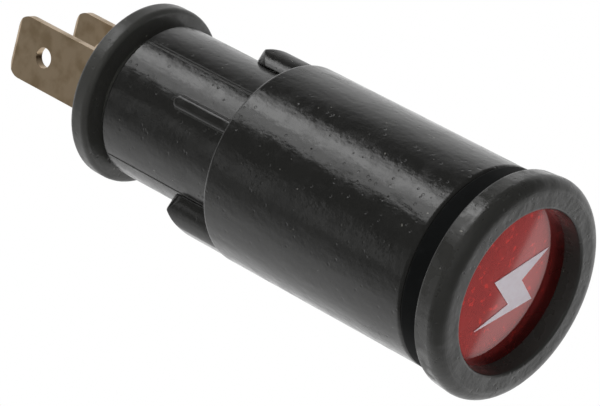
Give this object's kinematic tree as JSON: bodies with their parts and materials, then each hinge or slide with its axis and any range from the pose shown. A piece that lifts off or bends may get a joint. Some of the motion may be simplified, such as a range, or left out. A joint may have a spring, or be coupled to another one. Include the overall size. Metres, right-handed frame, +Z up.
{
  "type": "panel indicator lamp",
  "caption": "Panel-mounted indicator lamp: red lens with a lightning bolt, round bezel, tube with a mounting sleeve, pull-out bulb holder and blade terminals.",
  "frame": {"origin": "on the lamp's axis, at the gasket's rear face, where the panel's front face bears", "axes": "+Y along the axis from the lens towards the terminals, +Z up on the lightning bolt, +X to the right of one who looks at the lens"},
  "size_m": [0.0214, 0.0618, 0.0214],
  "materials": {
    "bezel_plastic": "satin black moulding",
    "lens_red": "polished translucent red",
    "symbol_white": "printed white",
    "gasket_rubber": "matt black",
    "tube_plastic": "satin black moulding",
    "sleeve_plastic": "satin black moulding",
    "holder_plastic": "satin black moulding",
    "terminal_brass": "dull tinned brass",
    "rivet_brass": "turned",
    "shell_brass": "drawn, bright",
    "insulator_brown": "fibre board",
    "contact_brass": "turned",
    "spring_steel": "drawn wire",
    "cap_brass": "drawn, bright",
    "vitrite_black": "black glass",
    "solder": "solder blob",
    "cement": "cap cement",
    "clear_glass": "clear",
    "lead_metal": "drawn wire",
    "bead_glass": "pressed glass",
    "filament_metal": "tungsten wire"
  },
  "bodies": {
    "housing": {"bezel_ring": "bezel_plastic", "lens": "lens_red", "lens_symbol": "symbol_white", "panel_gasket": "gasket_rubber", "lamp_tube": "tube_plastic"},
    "sleeve": {"mounting_sleeve": "sleeve_plastic"},
    "holder": {"holder_plug": "holder_plastic", "rear_flange": "holder_plastic", "flange_rivets": "rivet_brass", "shell_terminal": "terminal_brass", "centre_terminal": "terminal_brass", "socket_shell": "shell_brass", "contact_spring": "spring_steel"},
    "contact": {"contact_insulator": "insulator_brown", "centre_contact": "contact_brass"},
    "bulb": {"bulb_cap": "cap_brass", "bulb_pins": "cap_brass", "bulb_insulator": "vitrite_black", "bulb_tip": "solder", "bulb_cement": "cement", "bulb_glass": "clear_glass", "lead_wires": "lead_metal", "wire_bead": "bead_glass", "filament": "filament_metal"}
  },
  "joints": [
    {"name": "sleeve_slide", "type": "slide", "parent": "housing", "child": "sleeve", "axis": [0, 1, 0], "range_m": [0, 0.007]},
    {"name": "holder_slide", "type": "slide", "parent": "housing", "child": "holder", "axis": [0, 1, 0], "range_m": [0, 0.036]},
    {"name": "contact_plunge", "type": "slide", "parent": "holder", "child": "contact", "axis": [0, 1, 0], "range_m": [0, 0.0012], "stiffness_N_per_m": 2500, "springref_m": -0.002, "deforming": ["contact_spring"]},
    {"name": "bulb_turn", "type": "hinge", "parent": "contact", "child": "bulb", "pos_m": [0, 0, 0], "axis": [0, 1, 0], "range_deg": [0, 25]}
  ]
}
